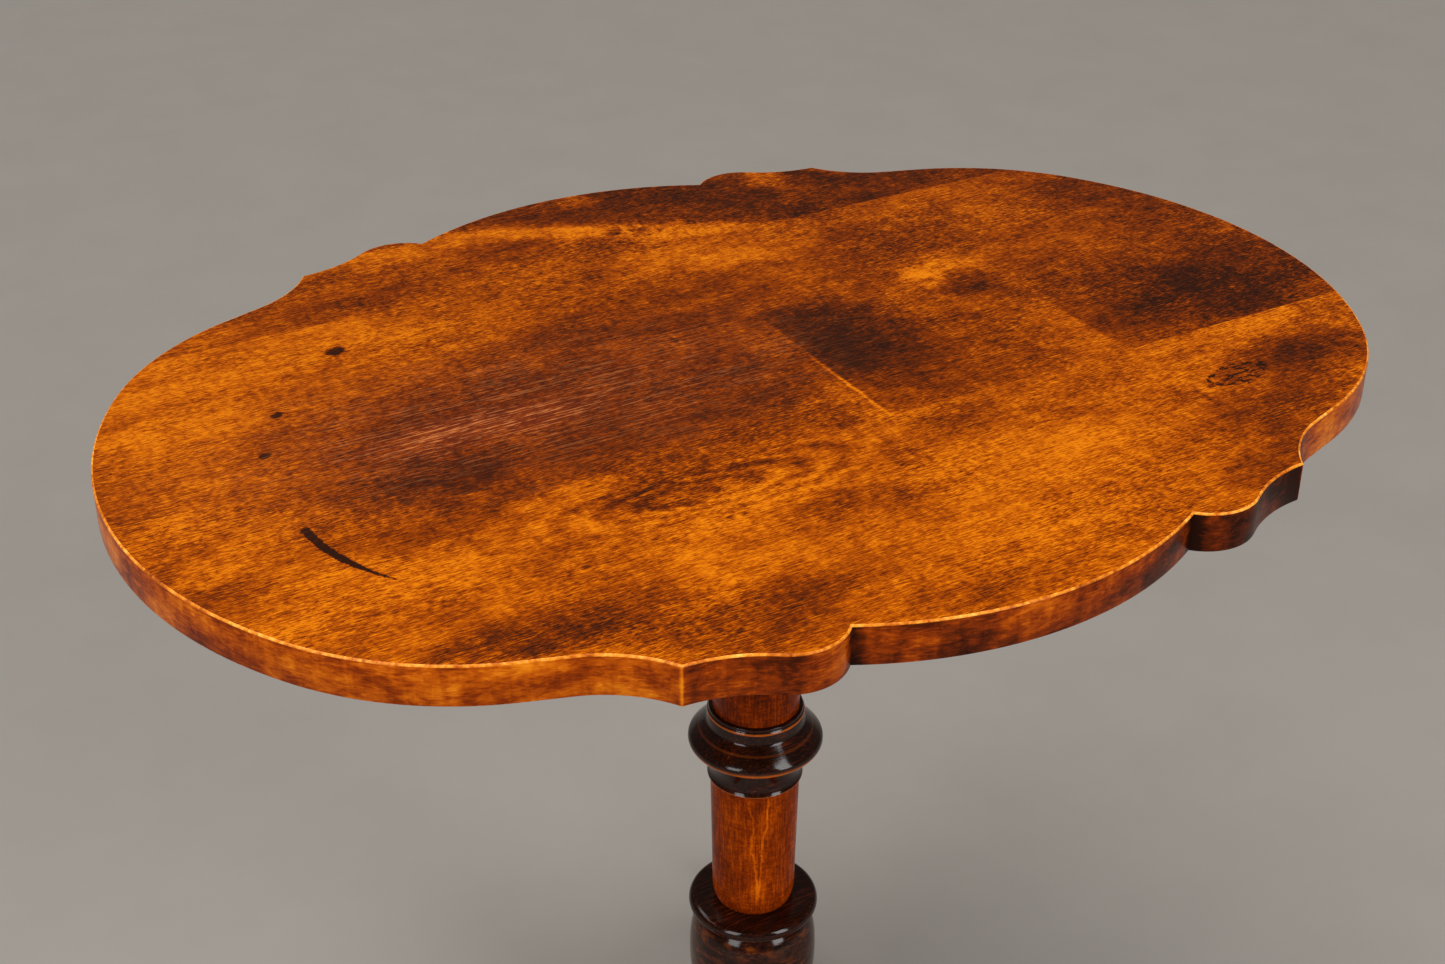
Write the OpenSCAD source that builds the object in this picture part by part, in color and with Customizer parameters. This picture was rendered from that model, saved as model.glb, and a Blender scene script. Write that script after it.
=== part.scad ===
// Tilt top table: a shaped three-board top on bearers, tilting about two pins in a block
// on the head of a turned pillar, with a hand catch, a hub, three legs and an iron brace.
// Millimetres, +Z up, origin on the floor under the pillar, X along the top's long axis.

/* [Whole table] */
// height of the top's upper face above the floor
table_h = 750; // [700:1:800]
// thickness of the glued-up top
top_t = 28.5; // [22:0.5:34]

/* [Outline of the top] */
// half of the top's length
half_len = 470; // [440:1:500]
// radius of the round end
end_r = 310.8;
// angle where the end arc meets the shoulder arc
end_a = 34;
// radius of the shoulder arc
shoulder_r = 207.7;
// angle where the shoulder arc stops
shoulder_a = 71.25;
// straight run between shoulder and hollow
shoulder_run = 30.7;
// radius of the hollow running up to the corner point
hollow_r = 92.2;
// distance of the corner point from the middle of the long side
corner_x = 233.4;
// half of the top's width in the middle
half_wid = 348.4;
// radius of the middle bow
bow_r = 272.4;
// distance of the small notch from the middle
notch_x = 128.3;
// distance of the small lobe's centre from the middle
lobe_x = 156.4;
// radius of the small lobe
lobe_r = 38.2;
// radius of the sweep from the lobe out to the corner point
sweep_r = 102.9;
// glue line between front and middle board
joint_front_y = -114.4;
// glue line between middle and back board
joint_back_y = 214;

/* [Bearers and pivot] */
// width of a bearer
bearer_w = 30; // [24:1:36]
// height of a bearer
bearer_h = 38;
// half of a bearer's length
bearer_half = 270; // [250:1:280]
// length of the slope at a bearer's end
bearer_slope = 46;
// height left at a bearer's end
bearer_tip = 14;
// width and depth of the pivot block
block_w = 150; // [140:1:150]
// height of the pivot block below its rounded front
block_low = 23.5;
// radius of the block's rounded front, about the pivot
block_r = 22.5;
// gap between block and bearer
side_gap = 0.5;
// radius of a pivot pin
pin_r = 6;
// depth of a pivot pin in the block
pin_in = 28;
// running clearance between pin and bearer, on the radius
pin_gap = 0.05;
// gap between the block's upper face and the top
lift_gap = 0.5;

/* [Pillar] */
// radius of the neck at its foot
neck_r = 34.6;
// radius of the neck under its capital
neck_top_r = 35.6;
// radius of the tenons that join the turned pieces
tenon_r = 16;
// radius of the tenon in the pivot block
head_tenon_r = 18;
// radius of the upper ring
ring_r = 54.2;
// radius of the shaft at its head
shaft_r = 36.1;
// radius of the shaft near its foot
shaft_low_r = 34.2;
// radius of the lower disc
disc_r = 53.6;
// radius of the bulb
bulb_r = 53.1;

/* [Hub, legs and brace] */
// radius of the hub
hub_r = 47; // [45:1:52]
// distance of the leg seats from the middle
seat_x = 41;
// thickness of a leg
leg_t = 38;
// reach of a leg
leg_reach = 306; // [290:1:330]
// height of the hub's lower face above the floor
hub_low = 62;
// radius of a leg dowel
dowel_r = 5;
// thickness of the iron brace
brace_t = 3;
// width of a brace arm
brace_w = 20;
// reach of a brace arm
brace_reach = 82;

/* [Catch] */
// radius of the catch bolt
bolt_r = 4.2;
// running clearance between bolt and housing, on the radius
bolt_gap = 0.05;
// travel of the catch bolt
bolt_travel = 10; // [8:1:10]

/* [Hidden] */
$fn = 64;
eps = 0.01;
birch = [0.72, 0.40, 0.13];
ebony = [0.10, 0.05, 0.03];
pale = [0.75, 0.58, 0.38];
iron = [0.22, 0.21, 0.20];
brass = [0.78, 0.62, 0.30];

under = table_h - top_t;             // lower face of the top
block_top = under - lift_gap;
pivot_z = block_top - block_r;
pivot_y = -block_w / 2 + block_r;
block_bottom = pivot_z - block_low;
bearer_x = block_w / 2 + side_gap;
bearer_screw_y = [-205, -20, 130, 243];

// heights of the pillar's joints above the floor
neck_z = 449.8;
ring_z = 383.5;
shaft_z = 257.5;
disc_z = 243.5;
bulb_z = 152;

// ---- outline of the top, one quarter from the long end round to the middle ----
function dir(a) = [cos(a), sin(a)];
function arc(c, r, a0, a1, n) = [for (i = [0:n - 1]) c + r * dir(a0 + (a1 - a0) * i / n)];
end_c = [half_len - end_r, 0];
shoulder_c = end_c + (end_r - shoulder_r) * dir(end_a);
run_start = shoulder_c + shoulder_r * dir(shoulder_a);
run_end = run_start + shoulder_run * dir(shoulder_a + 90);
hollow_c = run_end + hollow_r * dir(shoulder_a);
hollow_a = 360 - acos((corner_x - hollow_c[0]) / hollow_r);
corner = hollow_c + hollow_r * dir(hollow_a);
bow_c = [0, half_wid - bow_r];
notch = [notch_x, bow_c[1] + sqrt(pow(bow_r, 2) - pow(notch_x, 2))];
lobe_c = [lobe_x, notch[1] - sqrt(pow(lobe_r, 2) - pow(lobe_x - notch_x, 2))];
to_lobe = lobe_c - corner;
sweep_turn = acos((pow(sweep_r, 2) + pow(norm(to_lobe), 2) - pow(sweep_r + lobe_r, 2))
                  / (2 * sweep_r * norm(to_lobe)));
sweep_c = corner + sweep_r * dir(atan2(to_lobe[1], to_lobe[0]) - sweep_turn);
sweep_a0 = atan2(corner[1] - sweep_c[1], corner[0] - sweep_c[0]);
sweep_a1 = atan2(lobe_c[1] - sweep_c[1], lobe_c[0] - sweep_c[0]);
lobe_a1 = atan2(notch[1] - lobe_c[1], notch[0] - lobe_c[0]);
bow_a0 = atan2(notch[1] - bow_c[1], notch[0]);
quarter = concat(arc(end_c, end_r, 0, end_a, 12),
                 arc(shoulder_c, shoulder_r, end_a, shoulder_a, 10),
                 [run_start], arc(hollow_c, hollow_r, shoulder_a + 180, hollow_a, 10),
                 arc(sweep_c, sweep_r, sweep_a0, sweep_a1, 7),
                 arc(lobe_c, lobe_r, sweep_a1 + 180, lobe_a1, 8),
                 arc(bow_c, bow_r, bow_a0, 90, 7));
last = len(quarter) - 1;
outline = concat(quarter, [[0, half_wid]],
                 [for (i = [last:-1:0]) [-quarter[i][0], quarter[i][1]]],
                 [for (i = [1:last]) [-quarter[i][0], -quarter[i][1]]], [[0, -half_wid]],
                 [for (i = [last:-1:1]) [quarter[i][0], -quarter[i][1]]]);

// ---- helpers ----
module across(x0, x1) { // a Y-Z outline carried along X
    translate([x0, 0, 0]) rotate([90, 0, 90]) linear_extrude(x1 - x0) children();
}

module turned(points) { rotate_extrude($fn = 96) polygon(points); }

// countersunk screw, head face at the origin, point towards +Z
head_r = 4.4;
head_h = 2.6;
shank_r = 2.1;
point_h = 4;
module screw_form(l) {
    rotate_extrude($fn = 32)
        polygon([[0, 0], [head_r, 0], [shank_r, head_h], [shank_r, l - point_h], [0, l]]);
}
module screw(l) {
    difference() {
        screw_form(l);
        translate([-head_r - 1, -0.5, -1]) cube([2 * head_r + 2, 1, 2]);
    }
}

// ---- places of the screws ----
module at_bearer_screws(depth) {
    for (s = [-1, 1], y = bearer_screw_y)
        translate([s * (bearer_x + bearer_w / 2), y, under - bearer_h + depth]) children();
}
bearer_screw_l = 40;
bearer_pocket = 14;
bearer_pocket_r = 6;
catch_y0 = 84;
catch_y1 = 140;
catch_half = 26;
catch_plate_t = 3;
module at_catch_screws() {
    for (x = [-19, 19], y = [catch_y0 + 8, catch_y1 - 8])
        translate([x, y, under - catch_plate_t]) children();
}
catch_screw_l = 16;
strike_t = 1.5;
bolt_z = under - 16.5;
module at_strike_screws() {
    for (x = [-14, 14])
        translate([x, block_w / 2 + strike_t, bolt_z - 6]) rotate([90, 0, 0]) children();
}
strike_screw_l = 18;
leg_angles = [180, 300, 60];
dowel_z = [88, 126];
dowel_half = 18;
module at_brace_screws() {
    for (a = leg_angles, r = [26, 68])
        rotate([0, 0, a]) translate([r, 0, hub_low - brace_t]) children();
}
brace_screw_l = 20;

// ---- the top ----
module board(y0, y1) {
    difference() {
        translate([0, 0, under]) linear_extrude(top_t) intersection() {
            polygon(outline);
            translate([-2 * half_len, y0]) square([4 * half_len, y1 - y0]);
        }
        at_bearer_screws(bearer_pocket) screw_form(bearer_screw_l);
        at_catch_screws() screw_form(catch_screw_l);
    }
}
module top_board_front() color(birch) board(-2 * half_wid, joint_front_y);
module top_board_middle() color(birch) board(joint_front_y, joint_back_y);
module top_board_back() color(birch) board(joint_back_y, 2 * half_wid);

// ---- bearers, each with a bore for its pivot pin ----
module bearer(side) {
    x0 = side > 0 ? bearer_x : -bearer_x - bearer_w;
    low = under - bearer_h;
    difference() {
        across(x0, x0 + bearer_w)
            polygon([[-bearer_half, under], [-bearer_half, under - bearer_tip],
                     [-bearer_half + bearer_slope, low], [bearer_half - bearer_slope, low],
                     [bearer_half, under - bearer_tip], [bearer_half, under]]);
        translate([x0 - 1, pivot_y, pivot_z]) rotate([0, 90, 0])
            cylinder(r = pin_r + pin_gap, h = bearer_w + 2);
        at_bearer_screws(bearer_pocket) screw_form(bearer_screw_l);
        at_bearer_screws(-1) cylinder(r = bearer_pocket_r, h = bearer_pocket + 1, $fn = 32);
    }
}
module bearer_left() color(birch) bearer(-1);
module bearer_right() color(birch) bearer(1);
module bearer_screws() color(iron) at_bearer_screws(bearer_pocket) screw(bearer_screw_l);

// ---- pivot block: front edge rounded about the pivot so the top can turn past it ----
bolt_hole_r = 6.5;
bolt_hole_d = 12;
wedge_w = 30;
wedge_d = 34;
wedge_thin = 1.6;
wedge_thick = 4;
module block_side() {
    ch = 5;
    polygon(concat([for (i = [0:9]) [pivot_y, pivot_z] + block_r * dir(90 + 90 * i / 9)],
                   [[-block_w / 2, block_bottom + ch], [-block_w / 2 + ch, block_bottom],
                    [block_w / 2 - ch, block_bottom], [block_w / 2, block_bottom + ch],
                    [block_w / 2, block_top - 2], [block_w / 2 - 2, block_top]]));
}
module pivot_block() color(birch) difference() {
    across(-block_w / 2, block_w / 2) block_side();
    translate([0, 0, block_bottom - 1]) cylinder(r = head_tenon_r, h = 60);
    for (s = [-1, 1]) translate([s * (block_w / 2 - pin_in), pivot_y, pivot_z])
        rotate([0, s * 90, 0]) cylinder(r = pin_r, h = pin_in + 1);
    translate([0, block_w / 2 + 1, bolt_z]) rotate([90, 0, 0])
        cylinder(r = bolt_hole_r, h = bolt_hole_d + 1);
    at_strike_screws() screw_form(strike_screw_l);
}
module pivot_pins() color(iron)
    for (s = [-1, 1]) translate([s * (block_w / 2 - pin_in), pivot_y, pivot_z])
        rotate([0, s * 90, 0]) rotate_extrude($fn = 64)
            polygon([[0, 0], [pin_r, 0], [pin_r, pin_in + side_gap + bearer_w - 2],
                     [pin_r - 1, pin_in + side_gap + bearer_w - 1],
                     [0, pin_in + side_gap + bearer_w - 1]]);

module wedge_form() {
    translate([0, wedge_w / 2, block_top - wedge_d]) rotate([90, 0, 0]) linear_extrude(wedge_w)
        polygon([[-wedge_thin / 2, 0], [wedge_thin / 2, 0],
                 [wedge_thick / 2, wedge_d], [-wedge_thick / 2, wedge_d]]);
}
module tenon_wedge() color(pale) wedge_form();

// ---- catch: a round bolt drawn by a small knob, kept by a plate on the block ----
catch_body_z = under - 27;
catch_body_half = 12;
bolt_tip_y = 78.5;
bolt_tail_y = 142;
knob_y = 116;
knob_r = 8;
stem_r = 2.5;
module catch_plate() color(brass) difference() {
    translate([-catch_half, catch_y0, under - catch_plate_t])
        cube([2 * catch_half, catch_y1 - catch_y0, catch_plate_t]);
    at_catch_screws() screw_form(catch_screw_l);
}
module catch_housing() color(brass) difference() {
    translate([-catch_body_half, catch_y0, catch_body_z])
        cube([2 * catch_body_half, catch_y1 - catch_y0, under - catch_plate_t - catch_body_z]);
    translate([0, catch_y0 - 1, bolt_z]) rotate([-90, 0, 0])
        cylinder(r = bolt_r + bolt_gap, h = catch_y1 - catch_y0 + 2);
    translate([-stem_r - 0.5, knob_y - bolt_travel - stem_r - 1, catch_body_z - 1])
        cube([2 * stem_r + 1, bolt_travel + 2 * stem_r + 2, bolt_z - catch_body_z + 1]);
}
module catch_bolt() color(iron) difference() {
    translate([0, bolt_tip_y, bolt_z]) rotate([-90, 0, 0]) rotate_extrude($fn = 64)
        polygon([[0, 0], [bolt_r - 1, 0], [bolt_r, 1], [bolt_r, bolt_tail_y - bolt_tip_y],
                 [0, bolt_tail_y - bolt_tip_y]]);
    translate([0, knob_y, bolt_z - bolt_r - 1]) cylinder(r = stem_r, h = bolt_r + 1, $fn = 32);
}
module catch_knob() color(brass) translate([0, knob_y, 0]) rotate_extrude($fn = 48)
    polygon([[0, bolt_z], [stem_r, bolt_z], [stem_r, catch_body_z - 3], [5, catch_body_z - 5],
             [knob_r, catch_body_z - 8], [knob_r, catch_body_z - 12], [6, catch_body_z - 15],
             [0, catch_body_z - 15]]);
module catch_screws() color(brass) at_catch_screws() screw(catch_screw_l);
module strike_plate() color(brass) difference() {
    translate([-20, block_w / 2, bolt_z - 14]) cube([40, strike_t, 24]);
    translate([0, block_w / 2 + 5, bolt_z]) rotate([90, 0, 0])
        cylinder(r = bolt_hole_r, h = 10);
    at_strike_screws() screw_form(strike_screw_l);
}
module strike_screws() color(brass) at_strike_screws() screw(strike_screw_l);

// ---- turned pillar, top to bottom ----
capital_z = 612;
module pillar_neck() color(birch) difference() {
    turned([[tenon_r, neck_z], [neck_r, neck_z], [neck_top_r, capital_z],
            [40, capital_z + 4], [43, capital_z + 10], [40, capital_z + 16], [38, capital_z + 18],
            [38.6, capital_z + 26], [41.5, capital_z + 37], [47, capital_z + 46],
            [54, capital_z + 51], [55, capital_z + 54], [55, block_bottom],
            [head_tenon_r, block_bottom], [head_tenon_r, block_top - 0.5],
            [0, block_top - 0.5], [0, neck_z + 34], [tenon_r, neck_z + 34]]);
    wedge_form();
}
// ring with collar, sloping cap, rounded rim and cove band
function rim(r, z0, z1, a0, a1, n) = [for (i = [0:n]) [r - (z1 - z0) / 2, (z0 + z1) / 2]
                                      + (z1 - z0) / 2 * dir(a0 + (a1 - a0) * i / n)];
module upper_ring() color(ebony) turned(concat(
    [[tenon_r, neck_z], [neck_r + 2.9, neck_z], [neck_r + 2.9, neck_z - 2.6],
     [38.6, neck_z - 4], [38.7, neck_z - 13], [39.4, neck_z - 15.2], [41, neck_z - 16.4],
     [46, neck_z - 20.4]],
    rim(ring_r, 412.6, 424.6, 48, -62, 10),
    [[46.5, 411.4], [42, 409.4], [40.3, 406.5], [39.2, 402], [38, 396], [36.9, 389.5],
     [36.9, ring_z],
     [tenon_r, ring_z]]));
module pillar_shaft() color(birch)
    turned([[0, disc_z - 38], [tenon_r, disc_z - 38], [tenon_r, shaft_z], [31, shaft_z],
            [32.4, shaft_z + 3], [33.6, shaft_z + 8], [shaft_low_r, shaft_z + 17],
            [shaft_low_r + 0.2, 300], [shaft_r - 0.6, 360], [shaft_r, ring_z],
            [tenon_r, ring_z], [tenon_r, neck_z + 34], [0, neck_z + 34]]);
module lower_disc() color(ebony) turned(concat([[tenon_r, disc_z], [tenon_r, shaft_z],
    [44, shaft_z - 0.3]], rim(disc_r, 244.6, 256.4, 80, -75, 10), [[44, disc_z]]));
module lower_bulb() color(ebony)
    turned([[0, disc_z - 38], [tenon_r, disc_z - 38], [tenon_r, disc_z], [41, disc_z],
            [44.5, 240], [47.6, 235], [50, 229], [51.7, 221], [52.8, 211], [bulb_r, 200],
            [52.9, 189], [52, 179], [50.2, 170], [47.2, 163], [43, 158], [38, 154.5],
            [36.5, bulb_z], [tenon_r, bulb_z], [tenon_r, bulb_z - 34], [0, bulb_z - 34]]);

// ---- hub with three flat seats, legs, dowels, iron brace ----
module hub() color(birch) difference() {
    turned([[0, hub_low], [hub_r - 5, hub_low], [hub_r - 1, hub_low + 2], [hub_r, hub_low + 6],
            [hub_r, bulb_z - 6], [hub_r - 1, bulb_z - 2], [hub_r - 5, bulb_z],
            [tenon_r, bulb_z], [tenon_r, bulb_z - 34], [0, bulb_z - 34]]);
    for (a = leg_angles) rotate([0, 0, a]) {
        translate([seat_x, -leg_t / 2, hub_low - 1]) cube([20, leg_t, leg_top - hub_low + 1]);
        for (z = dowel_z) translate([seat_x - dowel_half, 0, z]) rotate([0, 90, 0])
            cylinder(r = dowel_r, h = dowel_half + 1, $fn = 32);
    }
    at_brace_screws() screw_form(brace_screw_l);
}
leg_top = 146;
foot_r = 21;
foot_z = 19.5;
function bez(p, t) = pow(1 - t, 3) * p[0] + 3 * t * pow(1 - t, 2) * p[1]
                     + 3 * t * t * (1 - t) * p[2] + pow(t, 3) * p[3];
function curve(p, n) = [for (i = [0:n]) bez(p, i / n)];
foot_c = [leg_reach - foot_r, foot_z];
module leg_side() {
    floor_a = asin(foot_z / foot_r);
    polygon(concat([[seat_x, hub_low]], 
        curve([[84, hub_low], [128, hub_low], [150, 6], [foot_c[0] - 28, 2]], 14),
        [[foot_c[0] - 24, 0]],
        [for (i = [0:16]) foot_c + foot_r * dir(-floor_a + (148 + floor_a) * i / 16)],
        curve([[foot_c[0] - 22, foot_z + 13], [200, 26], [176, 132], [92, 144]], 16),
        [[78, leg_top], [seat_x, leg_top]]));
}
module leg(a) difference() {
    rotate([0, 0, a]) translate([0, leg_t / 2, 0]) rotate([90, 0, 0])
        linear_extrude(leg_t) leg_side();
    rotate([0, 0, a]) for (z = dowel_z) translate([seat_x - 1, 0, z]) rotate([0, 90, 0])
        cylinder(r = dowel_r, h = dowel_half + 1, $fn = 32);
    at_brace_screws() screw_form(brace_screw_l);
}
module leg_left() color(birch) leg(leg_angles[0]);
module leg_front() color(birch) leg(leg_angles[1]);
module leg_back() color(birch) leg(leg_angles[2]);
module leg_dowels() color(pale) for (a = leg_angles, z = dowel_z)
    rotate([0, 0, a]) translate([seat_x - dowel_half, 0, z]) rotate([0, 90, 0])
        cylinder(r = dowel_r, h = 2 * dowel_half, $fn = 32);
module brace() color(iron) difference() {
    translate([0, 0, hub_low - brace_t]) linear_extrude(brace_t) union() {
        circle(r = 20, $fn = 48);
        for (a = leg_angles) rotate(a) {
            translate([0, -brace_w / 2]) square([brace_reach - brace_w / 2, brace_w]);
            translate([brace_reach - brace_w / 2, 0]) circle(d = brace_w, $fn = 32);
        }
    }
    at_brace_screws() screw_form(brace_screw_l);
}
module brace_screws() color(iron) at_brace_screws() screw(brace_screw_l);

top_board_front();
top_board_middle();
top_board_back();
bearer_left();
bearer_right();
bearer_screws();
pivot_block();
pivot_pins();
tenon_wedge();
catch_plate();
catch_housing();
catch_bolt();
catch_knob();
catch_screws();
strike_plate();
strike_screws();
pillar_neck();
upper_ring();
pillar_shaft();
lower_disc();
lower_bulb();
hub();
leg_left();
leg_front();
leg_back();
leg_dowels();
brace();
brace_screws();
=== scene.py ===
# %% [markdown]
# # A tilt top table
# The object is a small pedestal table: a shaped top of three glued boards that tilts on two pins,
# a turned pillar of stained and blackened pieces, and a three-legged foot.
# The measured model is loaded first. Its nodes keep every size and every joint, and the steps
# below add finer shapes and finishes to it. Everything is in metres, with the floor at height 0.

# %% load the measured model
from math import cos, pi, radians, sin

import bmesh
import bpy
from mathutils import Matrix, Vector


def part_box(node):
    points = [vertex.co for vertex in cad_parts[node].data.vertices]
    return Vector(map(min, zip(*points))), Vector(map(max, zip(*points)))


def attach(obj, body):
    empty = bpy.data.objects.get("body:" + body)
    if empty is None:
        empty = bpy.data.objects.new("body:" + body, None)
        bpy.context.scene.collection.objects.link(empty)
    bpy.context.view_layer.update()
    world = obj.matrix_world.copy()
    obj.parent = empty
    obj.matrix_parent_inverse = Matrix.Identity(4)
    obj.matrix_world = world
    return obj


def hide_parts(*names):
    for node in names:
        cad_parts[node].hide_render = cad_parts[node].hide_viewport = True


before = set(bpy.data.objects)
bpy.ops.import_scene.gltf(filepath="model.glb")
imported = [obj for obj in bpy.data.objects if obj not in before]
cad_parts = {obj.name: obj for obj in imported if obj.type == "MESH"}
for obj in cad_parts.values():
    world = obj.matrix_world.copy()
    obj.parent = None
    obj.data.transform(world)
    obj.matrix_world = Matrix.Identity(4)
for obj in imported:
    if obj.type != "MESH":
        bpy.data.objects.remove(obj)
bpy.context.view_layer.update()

MM = 0.001
board_low, board_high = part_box("top_board_middle")
TOP_Z = board_high.z
UNDER_Z = board_low.z
print("top from", round(UNDER_Z, 4), "to", round(TOP_Z, 4))

# %% [markdown]
# ## Drawing with strokes
# A turned foot and a sawn table top both start as a line: the one is spun round an axis, the other
# is filled and thickened. The line could be a curve object, but a chain of mesh edges can be spun,
# bevelled and cut at once. A pen that walks ahead and turns left or right along arcs gives
# tangent joints by itself, which is how such an outline is set out on the board with compasses.

# %% a pen that draws edges in a bmesh
class Pen:
    """Walks over a plane and leaves a chain of edges behind it."""

    def __init__(self, bm, start, heading=0.0, upright=False):
        self.bm = bm
        self.upright = upright
        self.heading = heading
        self.tip = bm.verts.new(self.place(*start))

    def place(self, a, b):
        return Vector((a, 0, b)) * MM if self.upright else Vector((a, b, 0)) * MM

    def to(self, a, b):
        made = bmesh.ops.extrude_vert_indiv(self.bm, verts=[self.tip])
        self.tip = made["verts"][0]
        self.tip.co = self.place(a, b)
        return self

    def ahead(self, length):
        here = self.tip.co / MM
        other = here.z if self.upright else here.y
        a = radians(self.heading)
        return self.to(here.x + length * cos(a), other + length * sin(a))

    def face(self, heading):
        self.heading = heading
        return self

    def arc(self, radius, degrees, steps):
        """A left turn has positive degrees, a right turn negative ones."""
        side = 1 if degrees > 0 else -1
        a = radians(self.heading + 90 * side)
        centre = self.tip.co + radius * self.place(cos(a), sin(a))
        axis = (0, -1, 0) if self.upright else (0, 0, 1)
        made = bmesh.ops.spin(self.bm, geom=[self.tip], cent=centre, axis=axis,
                              angle=radians(degrees), steps=steps)
        self.tip = next(g for g in made["geom_last"] if isinstance(g, bmesh.types.BMVert))
        self.heading += degrees
        return self


def finish_piece(bm, name, body, nodes, smooth=32):
    """Turns a bmesh into a piece that rides on a body and stands for CAD nodes."""
    bmesh.ops.remove_doubles(bm, verts=bm.verts, dist=2e-6)
    bmesh.ops.recalc_face_normals(bm, faces=bm.faces)
    mesh = bpy.data.meshes.new(name)
    bm.to_mesh(mesh)
    bm.free()
    mesh.shade_smooth()
    mesh.set_sharp_from_angle(angle=radians(smooth))
    piece = bpy.data.objects.new(name, mesh)
    bpy.context.scene.collection.objects.link(piece)
    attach(piece, body)
    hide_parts(*nodes)
    print(name, len(mesh.polygons), "faces")
    return piece


# %% [markdown]
# ## The top
# The real top is three birch boards glued edge to edge and sawn to a shape whose four quarters
# match: a round end, a hollow, a sharp corner, a small lobe, a notch, and a bow in the middle.
# Booleans could cut the shape from a block, but they leave thin, untidy faces at the rim. Here
# one quarter is drawn with the pen and mirrored twice. The slab is then thickened, its edge is
# eased, and it is cut along the two glue lines, so each board is a piece of its own.

# %% one quarter of the outline, then the whole
def draw_top_outline(bm):
    pen = Pen(bm, (470, 0), heading=90)
    pen.arc(310.8, 34, 22).arc(207.7, 37.25, 18).ahead(30.7)
    pen.arc(92.2, -39.74, 16)
    pen.face(177.93).arc(102.9, -32.82, 12)
    pen.arc(38.2, 82.25, 16)
    pen.face(151.9).arc(272.4, 28.1, 14)
    pen.tip.co.x = 0
    for axis in "XY":
        bmesh.ops.mirror(bm, geom=bm.verts[:] + bm.edges[:], axis=axis, merge_dist=1e-6)
    bmesh.ops.remove_doubles(bm, verts=bm.verts, dist=1e-5)
    print("outline:", len(bm.verts), "points")


# %% the slab with its eased edges
EDGE_EASE = 1.3 * MM
LOWER_EASE = 1.2 * MM
FACE, ARRIS, SIDE, BENEATH = 0, 1, 2, 3


def slab():
    bm = bmesh.new()
    draw_top_outline(bm)
    bmesh.ops.translate(bm, verts=bm.verts, vec=(0, 0, TOP_Z))
    bmesh.ops.edgeloop_fill(bm, edges=bm.edges)
    made = bmesh.ops.extrude_face_region(bm, geom=bm.faces[:], use_keep_orig=True)
    low = [g for g in made["geom"] if isinstance(g, bmesh.types.BMVert)]
    bmesh.ops.translate(bm, verts=low, vec=(0, 0, UNDER_Z - TOP_Z))
    bmesh.ops.recalc_face_normals(bm, faces=bm.faces)
    for f in bm.faces:
        f.material_index = FACE if f.normal.z > 0.5 else BENEATH if f.normal.z < -0.5 else SIDE
    for height, width, steps, slot in ((TOP_Z, EDGE_EASE, 4, ARRIS),
                                       (UNDER_Z, LOWER_EASE, 2, SIDE)):
        rim = [e for e in bm.edges if all(abs(v.co.z - height) < 1e-6 for v in e.verts)]
        bmesh.ops.bevel(bm, geom=rim, offset=width, offset_type="OFFSET", affect="EDGES",
                        segments=steps, profile=0.5, material=slot)
    return bm


# %% cut the slab into its three boards
LEVEL = 0.9999
BIG_FACE = 0.002


def board(name, low_y, high_y):
    bm = slab()
    for y, keep in ((low_y, 1), (high_y, -1)):
        if y is None:
            continue
        cut = bmesh.ops.bisect_plane(bm, geom=bm.verts[:] + bm.edges[:] + bm.faces[:],
                                     plane_co=(0, y, 0), plane_no=(0, -keep, 0),
                                     clear_outer=True, dist=1e-7)
        edges = [g for g in cut["geom_cut"] if isinstance(g, bmesh.types.BMEdge)]
        filled = bmesh.ops.edgeloop_fill(bm, edges=edges)
        for f in filled["faces"]:
            f.material_index = SIDE
    piece = finish_piece(bm, name + "_shaped", "top", [name], smooth=28)
    for p in piece.data.polygons:
        if abs(p.normal.z) > LEVEL or p.area > BIG_FACE:
            p.use_smooth = False
    return piece


FRONT_JOINT = board_low.y
BACK_JOINT = board_high.y
print("glue lines at", round(FRONT_JOINT, 4), "and", round(BACK_JOINT, 4))
boards = {
    "front": board("top_board_front", None, FRONT_JOINT),
    "middle": board("top_board_middle", FRONT_JOINT, BACK_JOINT),
    "back": board("top_board_back", BACK_JOINT, None),
}


# %% [markdown]
# ## The turned pieces
# Each piece of the pillar came off a lathe. Half of its section is drawn upright with the pen,
# from the bore or the axis outwards, and spun once round the pillar's axis. A screw modifier
# would do the same, but the spin gives a plain mesh whose seam is merged at once.

# %% spin half a section round the pillar's axis
TURNS = 128


def turned(name, draw, nodes, ease=()):
    bm = bmesh.new()
    draw(bm)
    bmesh.ops.spin(bm, geom=bm.verts[:] + bm.edges[:], cent=(0, 0, 0), axis=(0, 0, 1),
                   angle=2 * pi, steps=TURNS, use_merge=True)
    bmesh.ops.remove_doubles(bm, verts=bm.verts, dist=2e-6)
    for radius, height, width in ease:
        ring = [e for e in bm.edges
                if all(abs(v.co.z - height * MM) < 2e-5 for v in e.verts)
                and all(abs(v.co.xy.length - radius * MM) < 2e-5 for v in e.verts)]
        bmesh.ops.bevel(bm, geom=ring, offset=width * MM, offset_type="OFFSET", affect="EDGES",
                        segments=3, profile=0.5, material=-1)
    return finish_piece(bm, name, "stand", nodes, smooth=35)


# %% [markdown]
# ## The five profiles
# A turner holds a thin card with the profile cut out against the work. Here each profile is a
# row of points, every one a radius and a height in millimetres, with arcs for the beads. The
# pieces meet on tenons that fit the bore of the blackened rings, so the profiles go round those
# too. Curves through a few points would be smoother, but a bead needs its exact short radius.

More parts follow.
